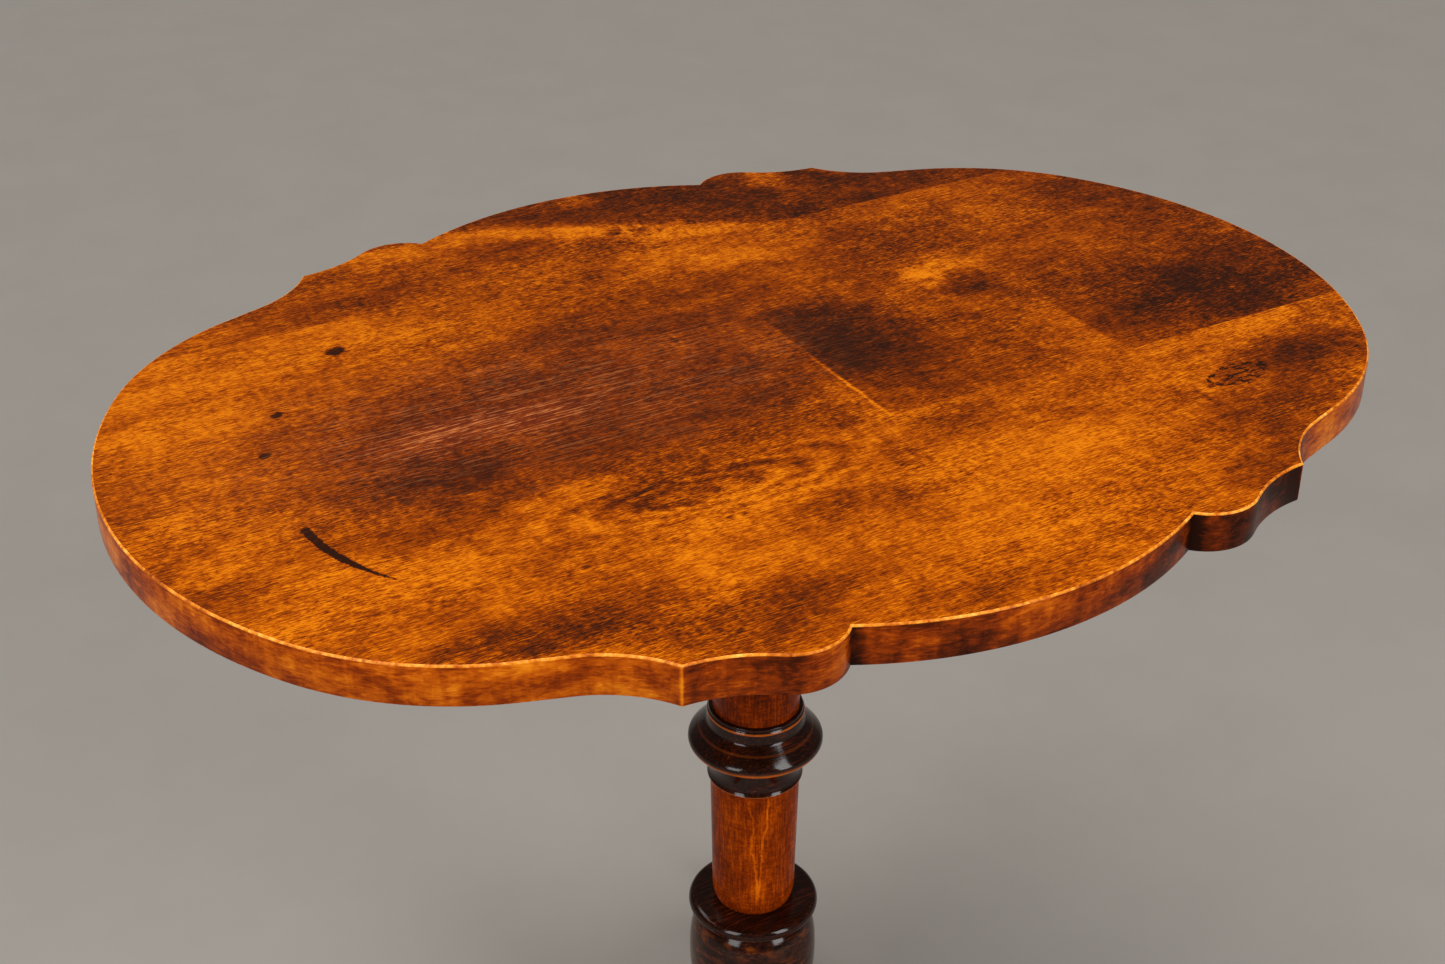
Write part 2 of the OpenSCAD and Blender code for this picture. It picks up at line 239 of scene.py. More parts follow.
# %% heights where one piece sits on the next, in millimetres
BORE = 16
TENON_UP, TENON_DOWN = 34, 38
HEAD_TENON = 18
NECK_Z, RING_Z, SHAFT_Z, DISC_Z, BULB_Z = 449.8, 383.5, 257.5, 243.5, 152.0
CAPITAL_Z = 612
BLOCK_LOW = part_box("pivot_block")[0].z / MM
BLOCK_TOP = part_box("pivot_block")[1].z / MM
HEAD_TOP = BLOCK_TOP - 0.5
print("the head's tenon ends at", round(HEAD_TOP, 1), "mm")


# %% the neck, with the capital that carries the block
def draw_neck(bm):
    pen = Pen(bm, (0, NECK_Z + TENON_UP), upright=True)
    pen.to(BORE, NECK_Z + TENON_UP).to(BORE, NECK_Z).to(34.6, NECK_Z).to(35.6, CAPITAL_Z)
    pen.to(38.5, CAPITAL_Z + 3).face(20).arc(7, 140, 12).to(38.2, CAPITAL_Z + 18)
    pen.to(38.6, CAPITAL_Z + 26).to(39.8, CAPITAL_Z + 32).to(41.9, CAPITAL_Z + 38)
    pen.to(45.2, CAPITAL_Z + 44).to(50, CAPITAL_Z + 49).to(54, CAPITAL_Z + 51.5)
    pen.to(55, CAPITAL_Z + 54).to(55, BLOCK_LOW).to(HEAD_TENON, BLOCK_LOW)
    pen.to(HEAD_TENON, HEAD_TOP).to(0, HEAD_TOP)


# %% the upper ring: collar, cap and cove
def draw_upper_ring(bm):
    pen = Pen(bm, (BORE, NECK_Z), upright=True)
    pen.to(36.9, NECK_Z).face(0).arc(0.6, -90, 3).to(37.5, NECK_Z - 2.2).to(37.9, NECK_Z - 2.8)
    pen.to(38.6, NECK_Z - 3.4).to(38.9, NECK_Z - 4.4).to(38.8, NECK_Z - 12.2)
    pen.face(-84).arc(4.2, 38, 5).to(46, 429.4).to(50.6, 424.7).to(52.3, 422.8)
    pen.face(-48).arc(6, -108, 14).to(46.5, 411.4).to(43, 410.4).to(41.2, 408.8).to(39.9, 406)
    pen.to(38.6, 402.2).to(37.4, 398.4).to(36.6, 395).to(36.2, 392).to(36.3, 389.6)
    pen.to(36.7, 387.6).to(37.3, 386.2).to(38, 385).to(38.4, 384.4).to(38.3, 383.8)
    pen.to(37.7, RING_Z).to(BORE, RING_Z)


# %% the shaft between the rings
def draw_shaft(bm):
    pen = Pen(bm, (0, DISC_Z - TENON_DOWN), upright=True)
    pen.to(BORE, DISC_Z - TENON_DOWN).to(BORE, SHAFT_Z).to(30.8, SHAFT_Z).to(31.4, SHAFT_Z + 0.8)
    pen.to(32.3, SHAFT_Z + 3.2).to(33.1, SHAFT_Z + 6.4).to(33.7, SHAFT_Z + 10)
    pen.to(34.1, SHAFT_Z + 15).to(34.2, 285).to(34.4, 305).to(34.9, 330).to(35.4, 355)
    pen.to(35.9, 378).to(36.1, RING_Z).to(BORE, RING_Z)
    pen.to(BORE, NECK_Z + TENON_UP).to(0, NECK_Z + TENON_UP)


# %% the lower disc and the bulb
def draw_lower_disc(bm):
    pen = Pen(bm, (BORE, DISC_Z), upright=True)
    pen.to(BORE, SHAFT_Z).to(31, SHAFT_Z).to(40, 257.2).to(47.7, 256.4)
    pen.face(0).arc(5.9, -170, 18).to(44, DISC_Z).to(BORE, DISC_Z)


def draw_bulb(bm):
    pen = Pen(bm, (0, DISC_Z - TENON_DOWN), upright=True)
    pen.to(BORE, DISC_Z - TENON_DOWN).to(BORE, DISC_Z).to(41, DISC_Z)
    pen.to(43.2, 241.6).to(45.4, 238.8).to(47.4, 235.4).to(49.1, 231.4).to(50.5, 226.8)
    pen.to(51.6, 221.6).to(52.4, 215.8).to(52.9, 209).to(53.1, 201).to(53, 193).to(52.6, 185.4)
    pen.to(51.9, 178.6).to(50.9, 172.6).to(49.4, 167.4).to(47.2, 162.8).to(44.2, 158.8)
    pen.to(40.6, 156).to(37.4, 154.4).to(36.5, BULB_Z).to(BORE, BULB_Z)
    pen.to(BORE, BULB_Z - TENON_UP).to(0, BULB_Z - TENON_UP)


# %% turn all five
neck = turned("neck_turned", draw_neck, ["pillar_neck"],
              ease=((34.6, NECK_Z, 0.5), (55, BLOCK_LOW, 0.8)))
upper_ring = turned("upper_ring_turned", draw_upper_ring, ["upper_ring"])
shaft = turned("shaft_turned", draw_shaft, ["pillar_shaft"])
lower_disc = turned("lower_disc_turned", draw_lower_disc, ["lower_disc"])
bulb = turned("bulb_turned", draw_bulb, ["lower_bulb"],
              ease=((36.5, BULB_Z, 0.6),))


# %% [markdown]
# ## Easing the sawn and cast pieces
# Legs, bearers, block and catch are right as measured, but no real edge is perfectly sharp.
# A node's mesh stays as it is, so a copy is merged and its flat faces are joined up again. The
# edges could be picked by hand, but there are hundreds; a bevel modifier rounds every edge
# that turns by more than a given angle, and can still be changed afterwards.

# %% an eased copy of a measured node
def eased(name, body, width, segments=3, turn=38):
    bm = bmesh.new()
    bm.from_mesh(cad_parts[name].data)
    bmesh.ops.remove_doubles(bm, verts=bm.verts, dist=5e-6)
    bmesh.ops.dissolve_limit(bm, angle_limit=radians(0.6), verts=bm.verts, edges=bm.edges)
    piece = finish_piece(bm, name + "_eased", body, [name], smooth=turn)
    round_off = piece.modifiers.new("round", "BEVEL")
    round_off.width = width * MM
    round_off.segments = segments
    round_off.limit_method = "ANGLE"
    round_off.angle_limit = radians(turn)
    round_off.harden_normals = True
    return piece


legs = {n: eased(n, "stand", 3.0) for n in ("leg_left", "leg_front", "leg_back")}
hub = eased("hub", "stand", 0.8, 2)
block = eased("pivot_block", "stand", 1.2)
bearers = [eased(n, "top", 1.5) for n in ("bearer_left", "bearer_right")]
brace = eased("brace", "stand", 0.5, 2)
catch_metal = [eased("catch_plate", "top", 0.5, 2),
               eased("catch_housing", "top", 1.2),
               eased("catch_knob", "bolt", 0.6, 2, turn=30)]
strike = eased("strike_plate", "stand", 0.3, 2)

# %% [markdown]
# ## Writing a finish
# Every finish below is a small net of nodes. Written out one call at a time it would be hard to
# read, so one class keeps the tree and offers the few steps that wood, lacquer and metal need:
# sums, noises, soft-edged spots, ramps of colour and the shader itself.

# %% a class that lays down shader nodes
def rgb(r, g, b):
    """A colour as a painter reads it, 0 to 255, made linear."""
    return tuple(((c / 255) / 12.92 if c < 11 else ((c / 255 + 0.055) / 1.055) ** 2.4)
                 for c in (r, g, b)) + (1.0,)


class Finish:
    def __init__(self, name):
        self.material = bpy.data.materials.new(name)
        self.material.use_nodes = True
        self.tree = self.material.node_tree
        self.tree.nodes.clear()
        self.here = self.add("ShaderNodeTexCoord").outputs["Object"]
        self.x, self.y, self.z = self.add("ShaderNodeSeparateXYZ", {0: self.here}).outputs

    def add(self, kind, inputs=None, **settings):
        n = self.tree.nodes.new(kind)
        for key, value in settings.items():
            setattr(n, key, value)
        for key, value in (inputs or {}).items():
            if isinstance(value, bpy.types.NodeSocket):
                self.tree.links.new(value, n.inputs[key])
            else:
                n.inputs[key].default_value = value
        return n

    def math(self, operation, a, b=0.0, clamp=False):
        return self.add("ShaderNodeMath", {0: a, 1: b}, operation=operation,
                        use_clamp=clamp).outputs[0]

    def plus(self, *terms):
        total = terms[0]
        for t in terms[1:]:
            total = self.math("ADD", total, t)
        return total

    def times(self, a, b):
        return self.math("MULTIPLY", a, b)

    def step(self, value, low, high, to_low=0.0, to_high=1.0):
        """Goes smoothly from to_low to to_high as value goes from low to high."""
        return self.add("ShaderNodeMapRange", {"Value": value, "From Min": low, "From Max": high,
                                               "To Min": to_low, "To Max": to_high},
                        interpolation_type="SMOOTHSTEP").outputs[0]

    def noise(self, where, scale=1.0, detail=3.0, rough=0.55, bend=0.0):
        """A soft random value about 0, mostly within half a unit."""
        n = self.add("ShaderNodeTexNoise", {"Vector": where, "Scale": scale, "Detail": detail,
                                            "Roughness": rough, "Distortion": bend})
        return self.math("SUBTRACT", n.outputs[0], 0.5)

    def stretch(self, where, sx, sy, sz, turn=(0, 0, 0)):
        """Scales the place so that noise comes out long or short along each axis."""
        return self.add("ShaderNodeMapping", {
            "Vector": where, "Scale": (sx, sy, sz),
            "Rotation": [radians(t) for t in turn]}).outputs[0]

    def shaken(self, where, size, amount):
        """The place, pushed about by a noise, so that drawn edges wander."""
        n = self.add("ShaderNodeTexNoise", {"Vector": where, "Scale": size, "Detail": 4.0,
                                            "Roughness": 0.6})
        off = self.add("ShaderNodeVectorMath", {0: n.outputs[1], 1: (0.5, 0.5, 0.5)},
                       operation="SUBTRACT").outputs[0]
        return self.add("ShaderNodeVectorMath", {0: off, 1: (amount,) * 3, 2: where},
                        operation="MULTIPLY_ADD").outputs[0]

    def distance(self, where, x, y, half_x, half_y, turn=0, z=0.0, half_z=10.0):
        """0 at the middle of an oval and 1 on its rim."""
        local = self.add("ShaderNodeMapping", {"Vector": where, "Location": (x, y, z),
                                               "Rotation": (0, 0, radians(turn)),
                                               "Scale": (half_x, half_y, half_z)},
                         vector_type="TEXTURE").outputs[0]
        return self.add("ShaderNodeVectorMath", {0: local}, operation="LENGTH").outputs[1]

    def spot(self, where, x, y, half_x, half_y, turn=0, z=0.0, half_z=10.0, hard=0.3):
        """1 inside an oval, falling softly to 0 outside it."""
        return self.step(self.distance(where, x, y, half_x, half_y, turn, z, half_z), 1.25, hard)

    def band(self, value, centre, half, soft=1.0):
        """1 where value is near centre, falling to 0 at half either side."""
        off = self.math("ABSOLUTE", self.math("SUBTRACT", value, centre))
        return self.step(off, half, half * (1 - soft))

    def ramp(self, value, *stops):
        n = self.add("ShaderNodeValToRGB", {0: value})
        while len(n.color_ramp.elements) < len(stops):
            n.color_ramp.elements.new(0.5)
        for element, (place, colour) in zip(n.color_ramp.elements, stops):
            element.position = place
            element.color = rgb(*colour)
        return n.outputs[0]

    def mix(self, share, a, b):
        n = self.add("ShaderNodeMix", data_type="RGBA")
        for key, value in ((0, share), (6, a), (7, b)):
            if isinstance(value, bpy.types.NodeSocket):
                self.tree.links.new(value, n.inputs[key])
            else:
                n.inputs[key].default_value = value
        return n.outputs[2]

    def bump(self, height, distance, strength=1.0):
        return self.add("ShaderNodeBump", {"Height": height, "Distance": distance,
                                           "Strength": strength}).outputs[0]

    def shade(self, colour, rough, normal=None, metal=0.0, specular=0.5):
        """The shader itself, and the end of the net."""
        n = self.add("ShaderNodeBsdfPrincipled", {
            "Base Color": colour, "Roughness": rough, "Metallic": metal,
            "Specular IOR Level": specular})
        if normal is not None:
            self.tree.links.new(normal, n.inputs["Normal"])
        out = self.add("ShaderNodeOutputMaterial")
        self.tree.links.new(n.outputs[0], out.inputs[0])
        print(self.material.name, "is", len(self.tree.nodes), "nodes")
        return self.material


# %% [markdown]
# ## The stain on the top
# Old stain on birch never lies evenly. Big cloudy marks were wiped in by hand, some with a
# straight edge where a cloth or a book lay; finer flecks follow the fibres, and a ripple runs
# across them. A painted image could hold all this, but a list of soft ovals, each lighter or
# darker than the board, stays readable and can be changed mark by mark. Depth 0 is
# bright gold and 1 is nearly black; the fine figure is added to the same depth.

# %% the marks on each board: x, y, half length, half width, turn, change of depth
MIDDLE_MARKS = (
    (-0.315, 0.172, 0.180, 0.085, 0, -0.20),   # pale gold towards the far left
    (-0.405, 0.020, 0.080, 0.240, 0, -0.14),   # pale left end
    (0.035, 0.192, 0.075, 0.022, 0, -0.15),    # gold under the far joint
    (0.075, 0.165, 0.070, 0.022, 0, -0.18),
    (0.205, 0.072, 0.055, 0.030, 20, -0.26),   # gold rays about the right knot
    (0.222, -0.070, 0.022, 0.060, 0, -0.04),
    (0.300, 0.150, 0.016, 0.060, 0, -0.14),
    (0.022, -0.085, 0.018, 0.055, 0, -0.16),   # gold strip left of the straight mark
    (-0.210, -0.106, 0.060, 0.018, 0, -0.30),
    (0.290, -0.110, 0.075, 0.012, 0, -0.20),
    (-0.130, 0.000, 0.270, 0.120, 0, 0.20),    # worn red-brown middle
    (-0.205, 0.050, 0.100, 0.030, 0, 0.14),
    (-0.265, -0.040, 0.070, 0.038, 0, 0.25),
    (-0.100, -0.035, 0.110, 0.050, 0, 0.12),
    (0.070, 0.046, 0.060, 0.030, -8, 0.05),
    (0.015, 0.150, 0.100, 0.026, 0, 0.11),
    (-0.070, 0.112, 0.110, 0.050, 0, 0.08),
    (0.180, 0.071, 0.016, 0.011, 0, -0.30),
    (0.208, 0.036, 0.036, 0.026, 0, 0.28),     # dark eye beside the right knot
    (0.420, 0.120, 0.090, 0.150, 0, 0.20),     # dark right end
    (0.200, 0.120, 0.080, 0.050, 0, 0.17),
    (0.300, 0.010, 0.065, 0.050, 0, 0.13),
    (0.150, -0.045, 0.050, 0.060, 0, 0.11),
    (0.400, -0.045, 0.110, 0.055, 0, 0.10),
    (0.375, -0.075, 0.100, 0.060, 0, 0.08),
)
FRONT_MARKS = (
    (-0.300, -0.150, 0.070, 0.026, 0, -0.07),
    (-0.140, -0.208, 0.065, 0.045, 0, -0.14),
    (0.105, -0.205, 0.120, 0.038, 0, -0.17),
    (0.000, -0.265, 0.085, 0.045, 0, -0.08),
    (0.300, -0.125, 0.120, 0.016, 0, -0.11),
    (-0.380, -0.140, 0.060, 0.050, 0, -0.14),
    (-0.290, -0.262, 0.060, 0.014, 12, -0.10),
    (-0.268, -0.232, 0.080, 0.030, 0, 0.40),
    (-0.172, -0.282, 0.075, 0.040, 0, 0.23),
    (0.348, -0.178, 0.065, 0.036, 0, 0.46),
    (0.285, -0.228, 0.065, 0.040, 0, 0.26),
    (0.070, -0.138, 0.040, 0.020, 0, 0.16),
    (-0.140, -0.130, 0.075, 0.018, 0, 0.24),
    (-0.045, -0.200, 0.050, 0.024, 0, 0.16),
    (0.225, -0.298, 0.060, 0.034, 0, 0.22),
    (0.248, -0.258, 0.050, 0.030, 0, 0.18),
    (0.200, -0.192, 0.040, 0.028, 0, 0.14),
    (-0.400, -0.205, 0.030, 0.030, 0, 0.15),
)
BACK_MARKS = (
    (-0.160, 0.306, 0.110, 0.022, 0, -0.22),
    (0.000, 0.274, 0.135, 0.022, -25, -0.32),  # pale crotch figure
    (0.060, 0.228, 0.060, 0.012, -12, -0.14),
    (0.183, 0.300, 0.020, 0.034, 0, -0.40),
    (0.016, 0.264, 0.013, 0.006, 30, 0.45),
    (0.036, 0.256, 0.011, 0.006, -30, 0.40),
    (0.245, 0.290, 0.014, 0.030, 0, -0.20),
    (-0.330, 0.232, 0.060, 0.020, 0, -0.10),
    (0.020, 0.330, 0.020, 0.020, 0, -0.25),
    (-0.200, 0.240, 0.120, 0.020, 0, 0.10),
)
print(len(MIDDLE_MARKS) + len(FRONT_MARKS) + len(BACK_MARKS), "marks")

# %% the fine figure of stained birch, lying along X
GOLD_TO_BLACK = ((0.0, (200, 111, 6)), (0.14, (178, 88, 2)), (0.32, (150, 67, 1)),
                 (0.50, (118, 46, 1)), (0.68, (88, 32, 3)), (0.84, (62, 24, 7)),
                 (1.0, (38, 17, 9)))
RED_TO_BLACK = [(place, (r, 0.87 * g, b)) for place, (r, g, b) in GOLD_TO_BLACK]


def figure(f, strength=1.0):
    """Flecks along the fibres, curl across them, soft mottling and pits, about 0."""
    fleck = f.noise(f.stretch(f.here, 190, 820, 820), 1.0, 2.0, 0.6, 0.4)
    hair = f.noise(f.stretch(f.here, 45, 1300, 1300), 1.0, 2.0, 0.6)
    curl = f.noise(f.stretch(f.here, 150, 55, 55, turn=(0, 0, 12)), 1.0, 3.0, 0.6, 0.8)
    mottle = f.noise(f.stretch(f.here, 75, 190, 190), 1.0, 4.0, 0.68, 0.3)
    cloud = f.noise(f.stretch(f.here, 16, 30, 30), 1.0, 4.0, 0.62)
    pits = f.step(f.noise(f.here, 330, 1.0), 0.25, 0.31, 0.0, 0.4)
    uneven = f.step(f.noise(f.stretch(f.here, 9, 14, 14), 1.0, 3.0), -0.14, 0.14, 0.75, 1.25)
    fine = f.plus(f.times(f.plus(f.times(fleck, 1.45), f.times(mottle, 0.72)), uneven),
                  f.times(hair, 1.20), f.times(curl, 0.50))
    fine = f.plus(f.times(fine, strength), pits)
    return f.plus(fine, f.times(cloud, 0.85)), fine


# %% from depth of stain to colour and gloss
def stained(f, depth, fine, rough=0.34, wear_and_sheen=None, stops=GOLD_TO_BLACK):
    """The shader of the stained and polished wood for a given depth of stain, with red-brown wear
    and a painted sheen where it is worn.
    """
    colour = f.ramp(depth, *stops)
    gloss = f.plus(rough, f.times(fine, 0.12))
    if wear_and_sheen is not None:
        # where the wood is worn it turns red-brown, and light fibre lines are a painted sheen, as
        # if the open fibres caught the light
        line = f.noise(f.stretch(f.here, 15, 480, 480), 1.0, 2.0, 0.7)
        fibre = f.noise(f.stretch(f.here, 110, 700, 700), 1.0, 2.0)
        lit = f.times(f.step(f.plus(line, f.times(fibre, 0.6)), 0.02, 0.16), wear_and_sheen)
        colour = f.mix(f.math("MULTIPLY", wear_and_sheen, 0.45, clamp=True), colour, rgb(100, 38, 20))
        colour = f.mix(f.math("MULTIPLY", lit, 0.60, clamp=True), colour, rgb(196, 116, 62))
    return f.shade(colour, gloss, f.bump(fine, 0.00008, 0.3), specular=0.035)


# %% lay the marks over a board
def cloudy_marks(f, marks, base):
    """The depth of stain, and the shaken place that the marks were drawn on."""
    place = f.shaken(f.here, 22.0, 0.036)
    place = f.shaken(place, 75.0, 0.020)
    place = f.shaken(place, 300.0, 0.009)
    depth = base
    for x, y, half_x, half_y, turn, change in marks:
        oval = f.spot(place, x, y, half_x, half_y, turn, z=TOP_Z)
        depth = f.plus(depth, f.times(oval, change))
    return depth, place


# %% burns and small knots
BURN_X, BURN_Y, BURN_RADIUS = -0.220, -0.0556, 0.145


def curved_burn(f):
    """A thin scorched arc across the glue line, thick in the middle."""
    from_centre = f.math("SQRT", f.plus(f.math("POWER", f.plus(f.x, -BURN_X), 2.0),
                                        f.math("POWER", f.plus(f.y, -BURN_Y), 2.0)))
    wobble = f.times(f.noise(f.here, 380, 4, 0.7), 0.0056)
    along = f.spot(f.here, -0.3525, -0.1000, 0.038, 0.038, z=TOP_Z, hard=0.75)
    taper = f.step(f.y, -0.148, -0.095, 0.0006, 0.0032)
    off = f.math("ABSOLUTE", f.plus(from_centre, wobble, -BURN_RADIUS))
    inked = f.step(f.math("SUBTRACT", off, taper), 0.0005, -0.0008)
    return f.times(f.times(inked, f.step(along, 0.02, 0.2)), 0.85)


def knot(f, x, y, size):
    """A small dark eye in a pale, rayed patch."""
    eye = f.times(f.spot(f.here, x, y, size, size * 0.7, 30, z=TOP_Z, hard=0.2), 0.40)
    halo = f.spot(f.shaken(f.here, 90, 0.02), x, y, size * 3.6, size * 2.2, 30, z=TOP_Z)
    rays = f.noise(f.stretch(f.here, 260, 90, 90, turn=(0, 0, 40)), 1.0, 2.0)
    return f.plus(eye, f.times(halo, f.plus(-0.16, f.times(rays, 0.9))))


# %% [markdown]
# ## The middle board
# The widest board has been used hardest. Its middle is worn to red-brown, and open fibres there
# get a painted sheen of light lines; two dark patches end in a ruled line, where a thing lay while
# the stain was wet. A soft oval cut off by a step along X gives such a patch; the step is pushed
# about by a fine noise, because wet stain creeps along the fibres.

# %% the middle board's face
RULED_X, SECOND_RULED_X = 0.0362, 0.2395
SMALL_BURNS = ((-0.259, 0.166, 0.0080), (-0.329, 0.093, 0.0050), (-0.355, 0.042, 0.0046))


def middle_face():
    f = Finish("stain_middle_board")
    depth, place = cloudy_marks(f, MIDDLE_MARKS, 0.46)
    # a dark mark with a straight left edge and a bright line along it
    body = f.spot(place, 0.078, 0.006, 0.060, 0.078, z=TOP_Z)
    lower = f.spot(place, 0.080, -0.075, 0.065, 0.060, z=TOP_Z)
    edge_x = f.plus(f.x, f.times(f.noise(f.here, 180, 3), 0.004))
    straight = f.step(edge_x, RULED_X, RULED_X + 0.0023)
    depth = f.plus(depth, f.times(f.times(body, straight), 0.40),
                   f.times(f.times(lower, straight), 0.12))
    line = f.times(f.band(edge_x, 0.0350, 0.0022),
                   f.spot(f.here, 0.035, -0.068, 0.02, 0.062, z=TOP_Z))
    depth = f.plus(depth, f.times(line, -0.35))
    # the dark right part with its own straight edge
    right = f.times(f.step(edge_x, SECOND_RULED_X, SECOND_RULED_X + 0.0055),
                    f.spot(place, 0.350, -0.075, 0.180, 0.100, z=TOP_Z))
    depth = f.plus(depth, f.times(right, 0.27))
    # three small burns, and the long curved one
    near = f.shaken(f.here, 260.0, 0.004)
    for x, y, size in SMALL_BURNS:
        burn = f.spot(near, x, y, size, size * 0.75, 25, z=TOP_Z, hard=0.6)
        depth = f.plus(depth, f.times(burn, 0.75))
    depth = f.plus(depth, curved_burn(f))
    depth = f.plus(depth, knot(f, -0.037, 0.061, 0.0055), knot(f, 0.186, 0.058, 0.0075))
    all_over, fine = figure(f)
    # the worn red-brown middle; the same mask also lays the painted sheen of light fibre lines
    wear_and_sheen = f.plus(f.times(f.spot(place, -0.17, 0.02, 0.27, 0.11, z=TOP_Z, hard=0.1), 0.48),
                  f.times(f.spot(place, -0.218, 0.009, 0.100, 0.023, z=TOP_Z), 0.7))
    return stained(f, f.plus(depth, all_over), fine, wear_and_sheen=wear_and_sheen)


# %% [markdown]
# ## The front board
# This board was sawn at the side of the log, so flat ovals lie inside one another, as on a
# contour map. A wood texture draws rings too, but not flat ones that fade out; the distance
# from the middle of an oval, put through a sine, draws them all at once. A healed knot sits at
# the right: a ring of dark cracks with red-brown wood inside it, made from the same distance
# and kept only where a noise allows.

# %% the front board's face
def front_face():
    f = Finish("stain_front_board")
    depth, place = cloudy_marks(f, FRONT_MARKS, 0.34)
    # cathedral figure: flat ovals inside one another, left of the middle
    out = f.distance(f.shaken(f.here, 12, 0.03), -0.125, -0.138, 0.125, 0.036, z=TOP_Z)
    rings = f.math("SINE", f.plus(f.times(out, 24.0), f.times(f.noise(f.here, 60, 3), 5.0)))
    depth = f.plus(depth, f.times(f.times(rings, f.step(out, 1.4, 0.6)), 0.15))
    # a healed knot on the right, ringed by dark cracks
    far = f.distance(f.shaken(f.here, 70, 0.020), 0.286, -0.183, 0.028, 0.0135, 6, z=TOP_Z)
    crack = f.times(f.band(far, 0.85, 0.15, soft=0.8),
                    f.step(f.noise(f.here, 140, 3), -0.07, 0.01))
    split = f.noise(f.stretch(f.here, 120, 300, 90), 1.0, 3)
    inner = f.times(f.step(far, 0.85, 0.4), f.step(split, 0.01, 0.09))
    depth = f.plus(depth, f.times(crack, 0.75), f.times(inner, 0.6),
                   f.times(f.step(far, 1.2, 0.6), 0.10))
    depth = f.plus(depth, knot(f, 0.256, -0.188, 0.0045), curved_burn(f))
    all_over, fine = figure(f)
    return stained(f, f.plus(depth, all_over), fine)


# %% [markdown]
# ## The back board
# The far strip came from beside a fork of the tree. A slanting line parts gold wood from dark,
# and waves of curly figure run along it. The slant is a sum of x and y, and a noise makes it
# wander; the waves are a bent noise that only shows inside one long oval. More ovals could
# do the line as well, but its edge is sharp and straight, and a single step keeps it so.

# %% the back board's face
def back_face():
    f = Finish("stain_back_board")
    depth, place = cloudy_marks(f, BACK_MARKS, 0.50)
    across = f.plus(f.times(f.x, 0.42), f.times(f.y, 0.91))
    wander = f.times(f.noise(f.here, 30, 4), 0.020)
    dark = f.step(f.plus(across, wander), 0.252, 0.262)
    depth = f.plus(depth, f.times(dark, 0.26))
    waves = f.noise(f.stretch(f.here, 130, 60, 60, turn=(0, 0, -20)), 1.0, 3.0, 0.6, 2.0)
    crotch = f.spot(place, 0.030, 0.255, 0.100, 0.040, -24, z=TOP_Z)
    depth = f.plus(depth, f.times(f.times(waves, crotch), 0.9))
    all_over, fine = figure(f)
    return stained(f, f.plus(depth, all_over), fine)


# %% [markdown]
# ## The edge of the top
# Hands and cloths have rubbed the stain off the upper arris, so a bright gold line runs all
# round the top. The edge below it is dark and mottled, with painted light and shade along it:
# lighter towards the left end, darker towards the right.
# The arris faces got their own material slot when the edge was eased, so the bright line
# is exactly as wide as the rounding and needs no guess about the surface's slope.

# %% the worn arris
def worn_arris():
    f = Finish("worn_arris")
    patch = f.noise(f.here, 24, 3)
    fine = f.noise(f.here, 260, 3)
    rub = f.plus(0.42, f.times(patch, 1.7), f.times(fine, 1.4))
    colour = f.ramp(rub, (0.0, (246, 178, 78)), (0.35, (214, 128, 32)), (0.65, (172, 84, 10)),
                    (1.0, (96, 40, 8)))
    return f.shade(colour, 0.35, specular=0.12)


# %% the edge band: where along it, how wide, how much darker; the single bands are painted light and shade
MIRRORED_DARKS = ((0.185, 0.050, 0.08), (0.128, 0.010, 0.45), (0.2262, 0.009, 0.22),
                  (0.2334, 0.0014, -0.38))
PAINTED_LIGHT_AND_SHADE_ALONG = ((-0.430, 0.050, 0.05), (-0.290, 0.065, -0.10), (-0.178, 0.045, 0.11),
                (-0.070, 0.060, 0.17))


def edge_band():
    f = Finish("edge_band")
    cloud = f.noise(f.stretch(f.here, 22, 22, 40), 1.0, 4.0, 0.6)
    grain = f.noise(f.stretch(f.here, 90, 90, 420, turn=(0, 22, 0)), 1.0, 3.0, 0.65, 1.2)
    upright = f.noise(f.stretch(f.here, 120, 120, 26), 1.0, 3.0, 0.6, 0.6)
    # painted light and shade: lighter at the left end, darker towards the right, lighter again
    # past the right corner
    painted_shade_to_right = f.plus(f.step(f.x, -0.36, 0.18, -0.14, 0.24),
                           f.step(f.x, 0.24, 0.30, 0.0, -0.30))
    notch_dark = f.plus(*[f.times(f.band(f.math("ABSOLUTE", f.x), at, half), darker)
                          for at, half, darker in MIRRORED_DARKS])
    along = f.plus(*[f.times(f.band(f.x, at, half), darker)
                     for at, half, darker in PAINTED_LIGHT_AND_SHADE_ALONG])
    depth = f.plus(0.52, painted_shade_to_right, notch_dark, along, f.times(cloud, 1.6),
                   f.times(grain, 0.8), f.times(upright, 0.4))
    colour = f.ramp(depth, (0.0, (214, 122, 18)), (0.30, (172, 78, 5)), (0.52, (126, 46, 3)),
                    (0.76, (78, 26, 4)), (1.0, (34, 11, 4)))
    return f.shade(colour, 0.28, f.bump(grain, 0.0002, 0.4), specular=0.05)


# %% [markdown]
# ## Under the top
# Nobody stained the underside. It is dry birch gone brown with age, rougher and without any
# polish. It could have a figure of its own, but it is the same wood, so the same figure is
# used at little more than half strength, with a dull ramp.

# %% the dry underside
def dry_underside():
    f = Finish("dry_underside")
    all_over, fine = figure(f, 0.6)
    colour = f.ramp(f.plus(0.45, all_over), (0.0, (196, 142, 88)), (0.5, (150, 94, 48)),
                    (1.0, (92, 54, 28)))
    return f.shade(colour, 0.6, f.bump(fine, 0.0002, 0.5))


# %% put the finishes on the boards, in the order of their slots
arris, band, dry = worn_arris(), edge_band(), dry_underside()
for name, face in (("front", front_face), ("middle", middle_face), ("back", back_face)):
    for m in (face(), arris, band, dry):
        boards[name].data.materials.append(m)
print("top finishes:", [m.name for m in boards["middle"].data.materials])


